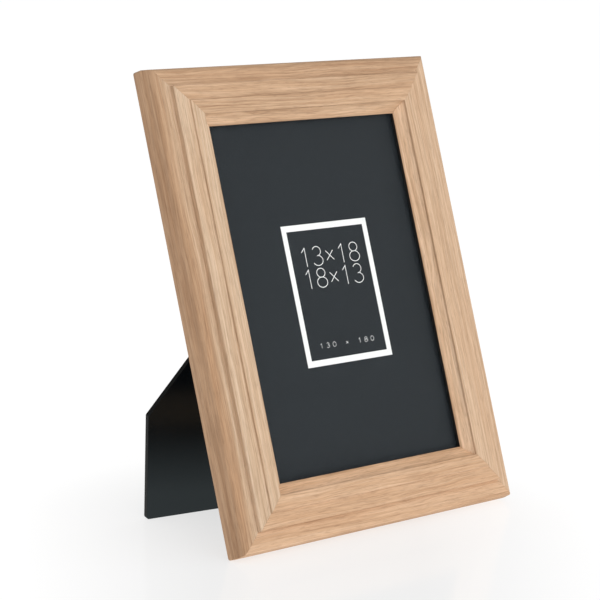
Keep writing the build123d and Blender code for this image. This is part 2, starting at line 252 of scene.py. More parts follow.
class ShaderSketch(NodeSketch):
    """A material in the making, with patterns on Object coordinates in millimetres."""

    def __init__(self, name: str) -> None:
        """Start an empty material of that name."""
        self.material = bpy.data.materials.new(name)
        self.material.use_nodes = True
        super().__init__(self.material.node_tree)
        self.tree.nodes.clear()

    def place(self, into: Matrix | None = None, shift: Vector | None = None) -> Socket:
        """Object coordinates in millimetres, turned to a piece's own axes.

        Args:
            into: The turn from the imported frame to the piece's axes.
            shift: A move along those axes in millimetres, so that like pieces differ.

        Returns:
            The coordinates' socket.
        """
        origin = self.add("ShaderNodeTexCoord").outputs["Object"]
        feeds = {"Vector": origin, "Scale": (1 / MILLIMETRE,) * 3}
        if into is not None:
            feeds["Rotation"] = into.to_euler()
            feeds["Location"] = into.to_translation() / MILLIMETRE
        if shift is not None:
            feeds["Location"] = Vector(feeds.get("Location", (0, 0, 0))) + shift
        return self.add("ShaderNodeMapping", feeds).outputs[0]

    def noise(self, vector: Socket, grain: Grain) -> Socket:
        """Cloudy noise on coordinates in millimetres.

        Args:
            vector: The coordinates.
            grain: Its size along each axis, and how fine it is.

        Returns:
            The noise, from about 0.3 to 0.7.
        """
        feeds = {0: vector, 1: grain.scale}
        scaled = self.add("ShaderNodeVectorMath", feeds, operation="MULTIPLY").outputs[0]
        feeds = {"Vector": scaled, "Scale": 1.0, "Detail": grain.detail}
        feeds |= {"Roughness": grain.roughness, "Distortion": grain.distortion}
        return self.add("ShaderNodeTexNoise", feeds).outputs[0]

    def ramp(self, factor: Socket, stops: list[tuple[float, Colour]]) -> Socket:
        """A colour from a ramp.

        Args:
            factor: Place on the ramp.
            stops: Places and colours in order.

        Returns:
            The colour.
        """
        node = self.add("ShaderNodeValToRGB", {0: factor})
        elements = node.color_ramp.elements
        while len(elements) < len(stops):
            elements.new(0.5)
        for element, (place, colour) in zip(elements, stops):
            element.position = place
            element.color = colour
        return node.outputs[0]

    def blend(self, factor: object, under: Socket, over: object, mode: str = "MIX") -> Socket:
        """Lay one colour over another."""
        node = self.add("ShaderNodeMix", {0: factor, 6: under, 7: over}, data_type="RGBA", blend_type=mode)
        return node.outputs[2]

    def tint(self, factor: object, under: Socket, over: object) -> Socket:
        """Multiply one colour by another, by a factor from 0 to 1."""
        return self.blend(factor, under, over, "MULTIPLY")

    def bump(self, height: Socket, depth: float, strength: float = 1.0) -> Socket:
        """A bumped normal from a height whose full range is that deep, in millimetres."""
        feeds = {"Strength": strength, "Distance": depth * MILLIMETRE, "Height": height}
        return self.add("ShaderNodeBump", feeds).outputs[0]

    def shader(self, kind: str, **feeds: object) -> Socket:
        """A shader, with its inputs by name and underscores for spaces."""
        named = {key.replace("_", " "): value for key, value in feeds.items()}
        return self.add("ShaderNode" + kind, named).outputs[0]

    def finish(self, shader: Socket) -> Material:
        """Send a shader to the output and return the material."""
        self.add("ShaderNodeOutputMaterial", {"Surface": shader})
        return self.material


@dataclass(frozen=True)
class RailLook:
    """What sets one rail's oak apart: its stretch of plank, its hue, and the light and shade painted on it.
    """

    shift: float
    tone: float
    warmth: float
    cove_painted_light: float
    band_painted_shade: float
    sight_painted_shade: float
    shoulder_painted_shade: float = 0.0
    side_painted_shade: float = 0.0


# Columns: plank shift, tone, warmth, painted light in the cove, painted shade in the band's creases, at the
# sight edge, near the outer edge and on the outer side
RAIL_LOOKS = {
    Side.BOTTOM: RailLook(310.0, 0.04, 0.75, 1.0, 0.8, 0.7),
    Side.TOP: RailLook(870.0, -0.02, 0.2, 0.2, 0.6, 0.7),
    Side.LEFT: RailLook(1490.0, 0.05, -0.75, 0.75, 1.0, 0.9, 1.3, 0.62),
    Side.RIGHT: RailLook(2230.0, 0.06, -0.1, 0.95, 1.0, 1.2),
}


@dataclass(frozen=True)
class OakFinish:
    """Brushed pale oak under a thin matt oil, with its grain along one rail.

    Insets run inwards from the rail's outer side, in millimetres. The cove, which takes painted light, begins
    at one of them, and each crease of painted shade is an inset, a half width and a strength. Near the outer
    edge the oak takes painted shade as well.
    """

    name: str
    into: Matrix
    look: RailLook
    cove: float
    creases: tuple[Triple, ...]

    dark: Colour = shade(170, 134, 103)
    middle: Colour = shade(200, 166, 134)
    light: Colour = shade(217, 186, 156)
    warm: Colour = shade(212, 168, 130)
    pore: Colour = shade(136, 102, 76)
    dark_thread: Colour = (0.85, 0.84, 0.83, 1)
    light_thread: Colour = (1.055, 1.055, 1.05, 1)
    # Tints of painted shade near the outer edge, of painted light in the cove and of painted shade in the
    # creases
    shoulder_shade_tint: Colour = (0.80, 0.69, 0.60, 1)
    cove_light_tint: Colour = (1.17, 1.17, 1.18, 1)
    crease_shade_tint: Colour = (0.62, 0.55, 0.49, 1)
    warm_losses: Point = (0.075, 0.14)
    levels: Triple = (0.33, 0.5, 0.68)
    warm_levels: Point = (0.48, 0.72)
    warm_share: float = 0.22
    thread_levels: Point = (0.34, 0.6)
    pore_levels: Point = (0.57, 0.68)

    wander: Grain = Grain((0.012, 0.05, 0.05))
    ripple: Grain = Grain((0.05, 0.16, 0.16), 1.0)
    bands: Grain = Grain((0.005, 0.34, 0.05), 2.0, 0.55)
    streaks: Grain = Grain((0.022, 1.1, 0.6), 3.0, 0.62)
    fibres: Grain = Grain((0.065, 2.0, 1.6), 3.0, 0.66)
    ticks: Grain = Grain((0.16, 2.8, 2.2), 1.0, 0.5, 0.3)
    hue: Grain = Grain((0.011, 0.14, 0.1), 1.0)
    # Noise that makes the painted shade in the creases patchy along the rail
    crease_shade_noise: Grain = Grain((0.03, 0.4, 0.4))

    ring_lean: float = 0.45
    drift: float = 5.0
    swell: float = 1.1
    band_share: float = 0.42
    pore_share: float = 0.26
    fibre_height: float = 0.5
    pore_depth: float = 0.8
    relief: float = 0.12
    relief_share: float = 0.6
    roughness: Point = (0.66, 0.52)
    shine: float = 0.35
    # Insets over which the painted shade near the outer edge fades out, and how far that fade wanders
    shoulder: Point = (3.0, 8.5)
    shoulder_drift: float = 4.0
    # How strong the painted shade in the creases is, from that noise
    crease_shade_levels: Point = (0.36, 0.6)
    crease_shade_shares: Point = (0.3, 1.0)

    def board(self, sketch: ShaderSketch, place: Socket, wander: Socket) -> Socket:
        """Bend straight coordinates into a board's wandering grain.

        Args:
            sketch: The material.
            place: The rail's own coordinates.
            wander: Slow noise along it.

        Returns:
            Coordinates along the grain, across it and in depth.
        """
        along, across, depth = sketch.parts(place)
        sawn = sketch.plus(across, sketch.times(depth, self.ring_lean))
        waves = sketch.times(sketch.noise(place, self.ripple), self.swell)
        bent = sketch.plus(sketch.times(wander, self.drift), waves)
        return sketch.join(along, sketch.plus(sawn, bent), depth)

    def wood(
        self, sketch: ShaderSketch, board: Socket, streaks: Socket, fibres: Socket, pores: Socket
    ) -> Socket:
        """Colour the bare wood, before it was moulded and oiled.

        Args:
            sketch: The material.
            board: Coordinates along the grain.
            streaks: Noise of the growth streaks.
            fibres: Noise of the single fibres.
            pores: Where pores are open, from 0 to 1.

        Returns:
            The colour.
        """
        bands = sketch.times(sketch.noise(board, self.bands), self.band_share)
        level = sketch.plus(bands, sketch.times(streaks, 1 - self.band_share))
        stops = list(zip(self.levels, (self.dark, self.middle, self.light)))
        colour = sketch.ramp(sketch.plus(level, self.look.tone), stops)
        warmed = sketch.remap(sketch.noise(board, self.hue), self.warm_levels, (0.0, self.warm_share))
        colour = sketch.blend(warmed, colour, self.warm)
        stops = list(zip(self.thread_levels, (self.dark_thread, self.light_thread)))
        colour = sketch.tint(1.0, colour, sketch.ramp(fibres, stops))
        colour = sketch.blend(sketch.times(pores, self.pore_share), colour, self.pore)
        green, blue = (1.0 - loss * self.look.warmth for loss in self.warm_losses)
        return sketch.tint(1.0, colour, (1.0, green, blue, 1.0))

    def worn(
        self, sketch: ShaderSketch, colour: Socket, place: Socket, inset: Socket, wander: Socket
    ) -> Socket:
        """Lay painted light and shade over the wood: painted shade near the outer edge, painted light in the
        cove and painted shade along the creases.

        Args:
            sketch: The material.
            colour: The bare wood's colour.
            place: The rail's own coordinates.
            inset: How far in from the rail's outer side.
            wander: Slow noise along it.

        Returns:
            The colour.
        """
        # Painted shade near the outer edge; only the left rail has it
        rim = sketch.plus(inset, sketch.times(sketch.minus(wander, 0.5), self.shoulder_drift))
        shoulder_shade_share = sketch.remap(rim, self.shoulder, (self.look.shoulder_painted_shade, 0.0))
        colour = sketch.tint(shoulder_shade_share, colour, self.shoulder_shade_tint)
        # Painted light: the cove is lightened, most on the bottom and right rails
        cove_light_share = sketch.remap(inset, (self.cove - 0.3, self.cove + 0.6), (0.0, self.look.cove_painted_light))
        colour = sketch.tint(cove_light_share, colour, self.cove_light_tint)
        crease_shade_patches = sketch.remap(sketch.noise(place, self.crease_shade_noise), self.crease_shade_levels, self.crease_shade_shares)
        # Painted shade: dark lines along the creases, the sight edge and the outer side, patchy along the
        # rail
        for centre, half_width, strength in self.creases:
            away = sketch.math("ABSOLUTE", sketch.minus(inset, centre))
            line = sketch.times(sketch.remap(away, (0.0, half_width), (strength, 0.0)), crease_shade_patches)
            colour = sketch.tint(line, colour, self.crease_shade_tint)
        return colour

    def material(self) -> Material:
        """Build the oak from growth bands, fibres, pores and slow changes of hue."""
        sketch = ShaderSketch(self.name)
        shift = Vector((self.look.shift, self.look.shift / 7, 0))
        place = sketch.place(self.into, shift)
        wander = sketch.noise(place, self.wander)
        board = self.board(sketch, place, wander)
        streaks = sketch.noise(board, self.streaks)
        fibres = sketch.noise(board, self.fibres)
        pores = sketch.remap(sketch.noise(board, self.ticks), self.pore_levels, (0.0, 1.0))
        inset = sketch.minus(sketch.parts(place)[1], shift.y)
        colour = self.worn(sketch, self.wood(sketch, board, streaks, fibres, pores), place, inset, wander)
        height = sketch.minus(sketch.times(fibres, self.fibre_height), sketch.times(pores, self.pore_depth))
        shader = sketch.shader(
            "BsdfPrincipled",
            Base_Color=colour,
            Roughness=sketch.remap(streaks, (0.3, 0.7), self.roughness),
            Normal=sketch.bump(height, self.relief, self.relief_share),
            Specular_IOR_Level=self.shine,
        )
        return sketch.finish(shader)


@dataclass(frozen=True)
class PlainFinish:
    """A surface between two display colours, with clouds, fine grain and a little relief, in millimetres.

    Its roughness goes from the first value to the other with the colour. Varnish has a shine of 0.5, and
    gleam is the colour of what it mirrors.
    """

    name: str
    colour: tuple[int, int, int]
    other: tuple[int, int, int]
    cloud_size: float
    grain_size: float
    roughness: Point
    relief: float
    metallic: float = 0.0
    shine: float = 0.5
    gleam: Colour = WHITE
    cloud_share: float = 0.6
    levels: Point = (0.38, 0.62)
    rough_levels: Point = (0.35, 0.65)

    def material(self) -> Material:
        """Build the finish."""
        sketch = ShaderSketch(self.name)
        place = sketch.place()
        sizes = (self.cloud_size, self.grain_size)
        clouds, grain = (sketch.noise(place, Grain((1 / size,) * 3, 3.0, 0.6)) for size in sizes)
        both = sketch.plus(sketch.times(clouds, self.cloud_share), sketch.times(grain, 1 - self.cloud_share))
        first, last = self.levels
        shader = sketch.shader(
            "BsdfPrincipled",
            Base_Color=sketch.ramp(both, [(first, shade(*self.colour)), (last, shade(*self.other))]),
            Roughness=sketch.remap(both, self.rough_levels, self.roughness),
            Normal=sketch.bump(grain, self.relief),
            Metallic=self.metallic,
            Specular_IOR_Level=self.shine,
            Specular_Tint=self.gleam,
        )
        return sketch.finish(shader)


@dataclass(frozen=True)
class PaneGlass:
    """Clear picture glass that lets lamps through to the card."""

    name: str
    tint: Colour = (0.985, 0.992, 0.99, 1)
    index: float = 1.45
    gleam: Colour = (0.1, 0.1, 0.1, 1)

    def material(self) -> Material:
        """Build the glass, with a clear shader for rays from lamps."""
        sketch = ShaderSketch(self.name)
        feeds = {"Base_Color": self.tint, "Roughness": 0.0, "IOR": self.index}
        glass = sketch.shader("BsdfPrincipled", **feeds, Transmission_Weight=1.0, Specular_Tint=self.gleam)
        clear = sketch.shader("BsdfTransparent", Color=self.tint)
        path = sketch.add("ShaderNodeLightPath").outputs
        lit = sketch.most(path["Is Shadow Ray"], path["Is Diffuse Ray"])
        return sketch.finish(sketch.add("ShaderNodeMixShader", {0: lit, 1: glass, 2: clear}).outputs[0])


# Painted shade: a near-black finish for the lip's wall beside the card, which lies in shade
LIP_SHADE = PlainFinish("lip_stain", (26, 23, 21), (34, 29, 26), 12.0, 0.3, (0.6, 0.75), 0.02)
CHARCOAL = PlainFinish("charcoal_print", (35, 41, 46), (38, 44, 49), 30.0, 0.15, (0.6, 0.7), 0.004)
WHITE_INK = PlainFinish("white_ink", (246, 246, 245), (250, 250, 249), 20.0, 0.1, (0.55, 0.65), 0.002)
KRAFT = PlainFinish("kraft_paper", (150, 112, 74), (172, 134, 94), 9.0, 0.3, (0.8, 0.92), 0.02)
HARDBOARD = PlainFinish("black_hardboard", (13, 14, 15), (21, 21, 22), 14.0, 0.35, (0.5, 0.66), 0.03)
BLUISH = (0.8, 0.97, 1, 1)
LEG_PAPER = PlainFinish(
    "black_paper", (4, 8, 12), (7, 11, 15), 25.0, 0.35, (0.15, 0.21), 0.006, shine=0.33, gleam=BLUISH
)
LEG_RIM = PlainFinish("black_rim", (18, 19, 19), (26, 27, 26), 5.0, 0.2, (0.5, 0.6), 0.01, shine=0.12)
ZINC = PlainFinish("zinc_plate", (176, 177, 176), (198, 198, 194), 3.0, 0.3, (0.26, 0.4), 0.01, 1.0)
BUTTON = PlainFinish("button_plate", (168, 170, 170), (190, 191, 189), 2.0, 0.25, (0.3, 0.44), 0.01, 1.0)
SCREW = PlainFinish("screw_plate", (186, 180, 160), (202, 197, 178), 1.5, 0.2, (0.24, 0.36), 0.01, 1.0)
BRASS = PlainFinish("brass_plate", (190, 160, 100), (208, 180, 122), 3.0, 0.25, (0.26, 0.4), 0.01, 1.0)
NAIL = PlainFinish("nail_steel", (120, 122, 124), (142, 144, 146), 2.0, 0.2, (0.4, 0.5), 0.01, 1.0)


class GeometrySketch(NodeSketch):
    """A Geometry Nodes tree with named inputs, run once to make a plain mesh."""

    SOCKETS = {
        float: "NodeSocketFloat",
        int: "NodeSocketInt",
        Object: "NodeSocketObject",
        Material: "NodeSocketMaterial",
    }

    def __init__(self, name: str) -> None:
        """Start an empty tree."""
        super().__init__(bpy.data.node_groups.new(name, "GeometryNodeTree"))
        for way in ("INPUT", "OUTPUT"):
            self.tree.interface.new_socket("Geometry", in_out=way, socket_type="NodeSocketGeometry")
        self.values: dict[str, object] = {}
        self.entry = self.add("NodeGroupInput")

    def input(self, name: str, value: object) -> Socket:
        """Add a named input.

        Args:
            name: The input's name.
            value: A number, an object or a material, which also sets the input's type.

        Returns:
            The socket that carries it in the tree.
        """
        kind = next(kind for sort, kind in self.SOCKETS.items() if isinstance(value, sort))
        socket = self.tree.interface.new_socket(name, in_out="INPUT", socket_type=kind)
        self.values[socket.identifier] = value
        return self.entry.outputs[name]

    def hold(self, curve: Socket) -> tuple[Socket, Socket]:
        """Hold on to the points of a curve, so that the mesh made from it can read them.

        Args:
            curve: The curve.

        Returns:
            The curve, and the places of its points.
        """
        position = self.add("GeometryNodeInputPosition").outputs[0]
        node = self.add("GeometryNodeCaptureAttribute", {"Geometry": curve})
        node.capture_items.new("VECTOR", "Place")
        self.tree.links.new(position, node.inputs["Place"])
        return node.outputs["Geometry"], node.outputs["Place"]

    def mesh(self, name: str, geometry: Socket, material: Socket) -> Mesh:
        """End the tree, run it and keep what it makes.

        Args:
            name: Name of the mesh.
            geometry: What the tree has made.
            material: The input with the finish.

        Returns:
            A plain mesh with its doubles merged and its faces turned outwards.
        """
        real = self.add("GeometryNodeRealizeInstances", {0: geometry}).outputs[0]
        dressed = self.add("GeometryNodeSetMaterial", {"Geometry": real, "Material": material}).outputs[0]
        self.add("NodeGroupOutput", {0: dressed})
        carrier = stand(name, bpy.data.meshes.new(name + "_start"))
        modifier = carrier.modifiers.new(self.tree.name, "NODES")
        modifier.node_group = self.tree
        for identifier, value in self.values.items():
            modifier[identifier] = value
        made = apply_modifiers(carrier)
        for value in self.values.values():
            if isinstance(value, Object):
                bpy.data.objects.remove(value)
        turn_outwards(made)
        made.name = name
        return made


def stand(name: str, data: bpy.types.ID) -> Object:
    """Put new data in the scene as an object at the origin.

    Args:
        name: The object's name.
        data: Its mesh, lamp or camera.

    Returns:
        The object.
    """
    thing = bpy.data.objects.new(name, data)
    bpy.context.scene.collection.objects.link(thing)
    return thing


def apply_modifiers(piece: Object) -> Mesh:
    """Take a scratch object's mesh with its modifiers applied, and remove the object.

    Args:
        piece: The scratch object.

    Returns:
        The plain mesh.
    """
    graph = bpy.context.evaluated_depsgraph_get()
    made = bpy.data.meshes.new_from_object(piece.evaluated_get(graph))
    piece.modifiers.clear()
    bpy.data.objects.remove(piece)
    return made


@contextmanager
def editing(mesh: Mesh) -> Iterator[bmesh.types.BMesh]:
    """Open a mesh for editing, and store the result in it.

    Args:
        mesh: The mesh.

    Yields:
        The open mesh.
    """
    work = bmesh.new()
    work.from_mesh(mesh)
    yield work
    work.to_mesh(mesh)
    work.free()


def turn_outwards(mesh: Mesh) -> None:
    """Merge a mesh's doubles and turn its faces outwards."""
    with editing(mesh) as work:
        bmesh.ops.remove_doubles(work, verts=work.verts, dist=MERGE_DISTANCE)
        bmesh.ops.recalc_face_normals(work, faces=work.faces)


def merged_copy(node: Object, name: str) -> Mesh:
    """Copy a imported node's mesh, with its loose triangles merged and its flat faces joined.

    Args:
        node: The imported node.
        name: Name of the copy.

    Returns:
        The copy, without the stored normals of the triangles.
    """
    mesh = node.data.copy()
    mesh.name = name
    with editing(mesh) as work:
        bmesh.ops.remove_doubles(work, verts=work.verts, dist=MERGE_DISTANCE)
        bmesh.ops.dissolve_limit(work, angle_limit=radians(FLAT_ANGLE), verts=work.verts, edges=work.edges)
    stored = mesh.attributes.get("custom_normal")
    if stored:
        mesh.attributes.remove(stored)
    return mesh


def softened(node: Object, name: str, width: float) -> Mesh:
    """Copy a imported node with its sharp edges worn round.

    Args:
        node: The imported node.
        name: Name of the copy.
        width: Width of the worn edges.

    Returns:
        The copy's mesh, merged and with its edges softened.
    """
    scratch = stand(name, merged_copy(node, name))
    bevel = scratch.modifiers.new("worn edges", "BEVEL")
    bevel.width = width
    bevel.segments = WEAR_STEPS
    bevel.limit_method = "ANGLE"
    bevel.angle_limit = radians(WORN_ANGLE)
    return apply_modifiers(scratch)


def dress(mesh: Mesh, material: Material) -> None:
    """Give a mesh its one finish."""
    mesh.materials.clear()
    mesh.materials.append(material)


def trim(mesh: Mesh, rim: Material) -> None:
    """Give a sheet's narrow sides a finish of their own.

    Args:
        mesh: The sheet, dressed in its main finish.
        rim: The finish of its sides.
    """
    mesh.materials.append(rim)
    face = max(mesh.polygons, key=lambda polygon: polygon.area).normal.copy()
    for polygon in mesh.polygons:
        polygon.material_index = int(abs(polygon.normal.dot(face)) < RIM_SLOPE)


def islands(mesh: Mesh) -> list[list[int]]:
    """Group a mesh's vertices by the loose part that they belong to, in the order of the first of each.

    Args:
        mesh: The mesh.

    Returns:
        The vertices' numbers by part.
    """
    neighbours: list[list[int]] = [[] for _ in mesh.vertices]
    for edge in mesh.edges:
        first, second = edge.vertices
        neighbours[first].append(second)
        neighbours[second].append(first)
    left = set(range(len(neighbours)))
    groups = []
    while left:
        front = [min(left)]
        left.remove(front[0])
        group = []
        while front:
            index = front.pop()
            group.append(index)
            near = left.intersection(neighbours[index])
            left -= near
            front.extend(near)
        groups.append(group)
    return groups


def add_piece(
    name: str, mesh: Mesh, body: str, replaced: list[str], smooth: float = SHARP_ANGLE
) -> None:
    """Put a finished mesh in the scene as a piece of the object.

    Args:
        name: The piece's name.
        mesh: Its mesh, with its place in it.
        body: The body that it moves with.
        replaced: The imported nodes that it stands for.
        smooth: Edges that turn by more degrees than this stay sharp.
    """
    mesh.shade_smooth()
    mesh.set_sharp_from_angle(angle=radians(smooth))
    piece = stand(name, mesh)
    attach(piece, body)
    if replaced:
        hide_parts(*replaced)
    LOG.info("%s: %d faces on %s", name, len(mesh.polygons), body)


@dataclass(frozen=True)
class MouldingSection:
    """Cross-section of a rail. Outward runs from the sight edge, and height from the back plane."""

    rail_width: float
    rail_thickness: float = 0.0164
    arris_radius: float = 0.00035
    cove_width: float = 0.0052
    cove_rise: float = 0.0041
    cove_bend_shares: Point = (0.58, 0.37)
    cove_radius_share: float = 1.8
    inner_step: float = 0.0012
    band_width: float = 0.0071
    groove_drop: float = 0.0007
    flat_width: float = 0.0075
    flat_fall: float = 0.0008
    outer_step: float = 0.0024
    shoulder_width: float = 0.0033
    shoulder_fall: float = 0.00085
    edge_radius: float = 0.0026
    side_height: float = 0.0046
    side_slant: float = 0.0014
    side_radius: float = 0.012
    rebate_overlap: float = 0.005
    lip_thickness: float = 0.0016
    arc_steps: int = 8

    @property
    def lip_height(self) -> float:
        """Height of the sight edge."""
        return self.rail_thickness - self.cove_rise - self.inner_step

    @property
    def rebate_depth(self) -> float:
        """Height of the rebate's shoulder, on which the glass rests."""
        return self.lip_height - self.lip_thickness

    @property
    def band_end(self) -> float:
        """Where the raised band ends and the groove begins."""
        return self.cove_width + self.band_width

    @property
    def flat_end(self) -> float:
        """Where the flat behind the groove ends."""
        return self.band_end + self.flat_width

    def corners(self) -> list[tuple[Point, float]]:
        """Corners of the section in order, each with the radius of its round."""
        shoulder_end = self.flat_end + self.shoulder_width
        flat_height = self.rail_thickness - self.groove_drop - self.flat_fall
        shoulder_height = flat_height - self.outer_step
        bend_out, bend_up = self.cove_bend_shares
        bend = (self.cove_width * bend_out, self.lip_height + self.cove_rise * bend_up)
        return [
            ((0, self.rebate_depth), 0),
            ((0, self.lip_height), 0),
            (bend, self.cove_width * self.cove_radius_share),
            ((self.cove_width, self.lip_height + self.cove_rise), 0),
            ((self.cove_width, self.rail_thickness), self.arris_radius),
            ((self.band_end, self.rail_thickness), self.arris_radius),
            ((self.band_end, self.rail_thickness - self.groove_drop), 0),
            ((self.flat_end, flat_height), self.arris_radius),
            ((self.flat_end, shoulder_height), 0),
            ((shoulder_end, shoulder_height), 0),
            ((self.rail_width - self.side_slant, shoulder_height - self.shoulder_fall), self.edge_radius),
            ((self.rail_width, self.side_height), self.side_radius),
            ((self.rail_width, 0), 0),
            ((self.rebate_overlap, 0), 0),
            ((self.rebate_overlap, self.rebate_depth), 0),
        ]

    def outline(self) -> list[Point]:
        """Points round the section, with its rounds as short chords."""
        corners = self.corners()
        points: list[Point] = []
        for index, (corner, radius) in enumerate(corners):
            before = corners[index - 1][0]
            after = corners[(index + 1) % len(corners)][0]
            points += rounded_corner(before, corner, after, radius, self.arc_steps)
        return points


def rounded_corner(before: Point, corner: Point, after: Point, radius: float, steps: int) -> list[Point]:
    """Points of an arc that rounds a corner between two straight runs.

    Args:
        before: The point that the first run comes from.
        corner: The corner.
        after: The point that the second run goes to.
        radius: The arc's radius, or zero for a sharp corner.
        steps: How many chords the arc has.

    Returns:
        The corner alone, or the arc's points in order.
    """
    if not radius:
        return [corner]
    here = Vector(corner)
    first = (Vector(before) - here).normalized()
    second = (Vector(after) - here).normalized()
    half_angle = first.angle(second) / 2
    centre = here + (first + second).normalized() * radius / sin(half_angle)
    start = here + first * radius / tan(half_angle) - centre
    end = here + second * radius / tan(half_angle) - centre
    turn = start.angle_signed(end)
    arc = [centre + Matrix.Rotation(-turn * step / steps, 2) @ start for step in range(steps + 1)]
    arc = [arc[0] + first * ARC_GUARD, *arc, arc[-1] + second * ARC_GUARD]
    return [tuple(point) for point in arc]


@dataclass
class OakFrame:
    """The four mitred rails."""

    stance: Stance
    nodes: dict[str, Object]
    corner_radius: float = 0.0012
    mitre_gap: float = 0.00004
    nail_sink: float = 0.0004
    lip_depth: float = 0.00001
    stations: int = 25
    straight_share: float = 0.5
    body: str = "frame"
    slot: str = "oak"

    def __post_init__(self) -> None:
        """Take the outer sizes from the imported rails."""
        low, high = self.stance.reach(self.nodes[Side.LEFT.node])
        self.width = 2 * abs(low.x)
        self.section = MouldingSection(rail_width=high.x - low.x)
        self.height = 2 * abs(self.stance.reach(self.nodes[Side.BOTTOM.node])[0].z)

    def section_curve(self) -> Object:
        """The rail's section as a closed curve: x inwards from the outer side, y the height."""
        curve = bpy.data.curves.new("rail_section", "CURVE")
        points = [(self.section.rail_width - outward, height) for outward, height in self.section.outline()]
        spline = curve.splines.new("POLY")
        spline.points.add(len(points) - 1)
        for point, (inset, height) in zip(spline.points, points):
            point.co = (inset, height, 0, 1)
        spline.use_cyclic_u = True
        return bpy.data.objects.new("rail_section", curve)

    def rail_mesh(self, side: Side, oak: Material, lip_shade: Material) -> Mesh:
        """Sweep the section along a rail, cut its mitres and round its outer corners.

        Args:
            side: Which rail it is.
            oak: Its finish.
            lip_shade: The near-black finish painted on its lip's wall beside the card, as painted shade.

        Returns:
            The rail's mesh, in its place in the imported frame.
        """
        length = self.width if side in (Side.BOTTOM, Side.TOP) else self.height
        sketch = GeometrySketch(f"moulded_rail_{side.value}")
        section = sketch.input("Section", self.section_curve())
        half = sketch.input("Half Length", length / 2)
        radius = sketch.input("Corner Radius", self.corner_radius)
        gap = sketch.input("Mitre Gap", self.mitre_gap)
        stations = sketch.input("Stations", self.stations)
        finish = sketch.input("Finish", oak)
        profile = sketch.add("GeometryNodeObjectInfo", {"Object": section}).outputs["Geometry"]
        run = sketch.add("GeometryNodeCurvePrimitiveLine", {"Start": (-1, 0, 0), "End": (1, 0, 0)}).outputs[0]
        run = sketch.add("GeometryNodeResampleCurve", {"Curve": run, "Count": stations}).outputs[0]
        run, share = sketch.hold(run)
        profile, spot = sketch.hold(profile)
        feeds = {"Curve": run, "Profile Curve": profile, "Fill Caps": True}
        bar = sketch.add("GeometryNodeCurveToMesh", feeds).outputs[0]
        position = self.mitred(sketch, share, spot, half, radius, gap)
        bar = sketch.add("GeometryNodeSetPosition", {"Geometry": bar, "Position": position}).outputs[0]
        mesh = sketch.mesh(f"rail_{side.value}", bar, finish)
        mesh.materials.append(lip_shade)
        # Painted shade: the lip's wall beside the card takes the near-black finish
        lip = self.section.rail_width - self.lip_depth
        for face in mesh.polygons:
            face.material_index = int(min(mesh.vertices[index].co.y for index in face.vertices) > lip)
        mesh.transform(self.rail_matrix(side))
        return mesh

    def mitred(
        self, sketch: GeometrySketch, share: Socket, spot: Socket, half: Socket, radius: Socket, gap: Socket
    ) -> Socket:
        """Where each point of the swept section goes.

        Args:
            sketch: The tree.
            share: Place along the rail, from -1 to 1.
            spot: Place on the section: inset, then height.
            half: Half the rail's outer length.
            radius: Radius of the frame's corner.
            gap: How far each mitre stands back.

        Returns:
            The new position: along the rail, inwards from its outer side, and forwards.
        """
        along = sketch.parts(share)[0]
        inset, height, _ = sketch.parts(spot)
        distance = sketch.math("ABSOLUTE", along)
        straight = sketch.minus(half, radius)
        plain = sketch.remap(distance, (0.0, self.straight_share), (0.0, straight))
        corner = sketch.remap(distance, (self.straight_share, 1.0), (0.0, radius))
        kept = sketch.minus(half, sketch.plus(inset, gap))
        reach = sketch.math("DIVIDE", sketch.times(sketch.plus(plain, corner), kept), half)
        over = sketch.most(sketch.minus(reach, straight), 0.0)
        near = sketch.most(sketch.minus(radius, inset), 0.0)
        squares = sketch.plus(sketch.math("POWER", over, 2.0), sketch.math("POWER", near, 2.0))
        span = sketch.math("SQRT", squares)
        pull = sketch.math("DIVIDE", radius, sketch.most(span, radius))
        rounded = sketch.math("GREATER_THAN", sketch.times(over, near), 0.0)
        loss = sketch.minus(1.0, sketch.remap(rounded, (0.0, 1.0), (1.0, pull)))
        reach = sketch.minus(reach, sketch.times(over, loss))
        along = sketch.times(sketch.math("SIGN", along), reach)
        return sketch.join(along, sketch.plus(inset, sketch.times(near, loss)), height)

    def rail_matrix(self, side: Side) -> Matrix:
        """The move from a rail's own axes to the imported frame.

        Args:
            side: Which rail it is.

        Returns:
            The move.
        """
        run, inwards = side.axes
        front = Vector((0, -1, 0))
        reach = self.height / 2 if side in (Side.BOTTOM, Side.TOP) else self.width / 2
        turn = Matrix((run, inwards, front)).transposed().to_4x4()
        corner = -inwards * reach - front * self.section.rebate_depth
        return self.stance.matrix @ Matrix.Translation(corner) @ turn

    def creases(self, look: RailLook) -> tuple[Triple, ...]:
        """Where painted shade darkens the moulding: along its creases, at its sight edge and on its outer
        side.

        Args:
            look: How much painted shade the rail has there.

        Returns:
            The inset, half width and strength of each crease, in millimetres.
        """
        section = self.section
        places = (
            (0.0, 1.4, look.sight_painted_shade),
            (section.cove_width, 0.5, 0.35 * look.band_painted_shade),
            (section.band_end, 0.8, 0.6 * look.band_painted_shade),
            (section.flat_end, 0.5, 0.3 * look.band_painted_shade),
            (section.rail_width - section.side_slant / 2, 2.0, look.side_painted_shade),
        )
        return tuple(
            ((section.rail_width - place) / MILLIMETRE, half, dark) for place, half, dark in places if dark
        )

    def slotted(self, mesh: Mesh) -> Mesh:
        """Cut the slots of the V nails into a rail, right through to its back.

        Args:
            mesh: The rail.

        Returns:
            The rail with its slots.
        """
        rail = stand(mesh.name, mesh)
        nails = stand("nail_cutter", merged_copy(self.nodes["corner_v_nails"], "nail_cutter"))
        nails.data.transform(Matrix.Translation(self.stance.back * self.nail_sink))
        cut = rail.modifiers.new("nail slots", "BOOLEAN")
        cut.object = nails
        cut.operation = "DIFFERENCE"
        made = apply_modifiers(rail)
        bpy.data.objects.remove(nails)
        return made

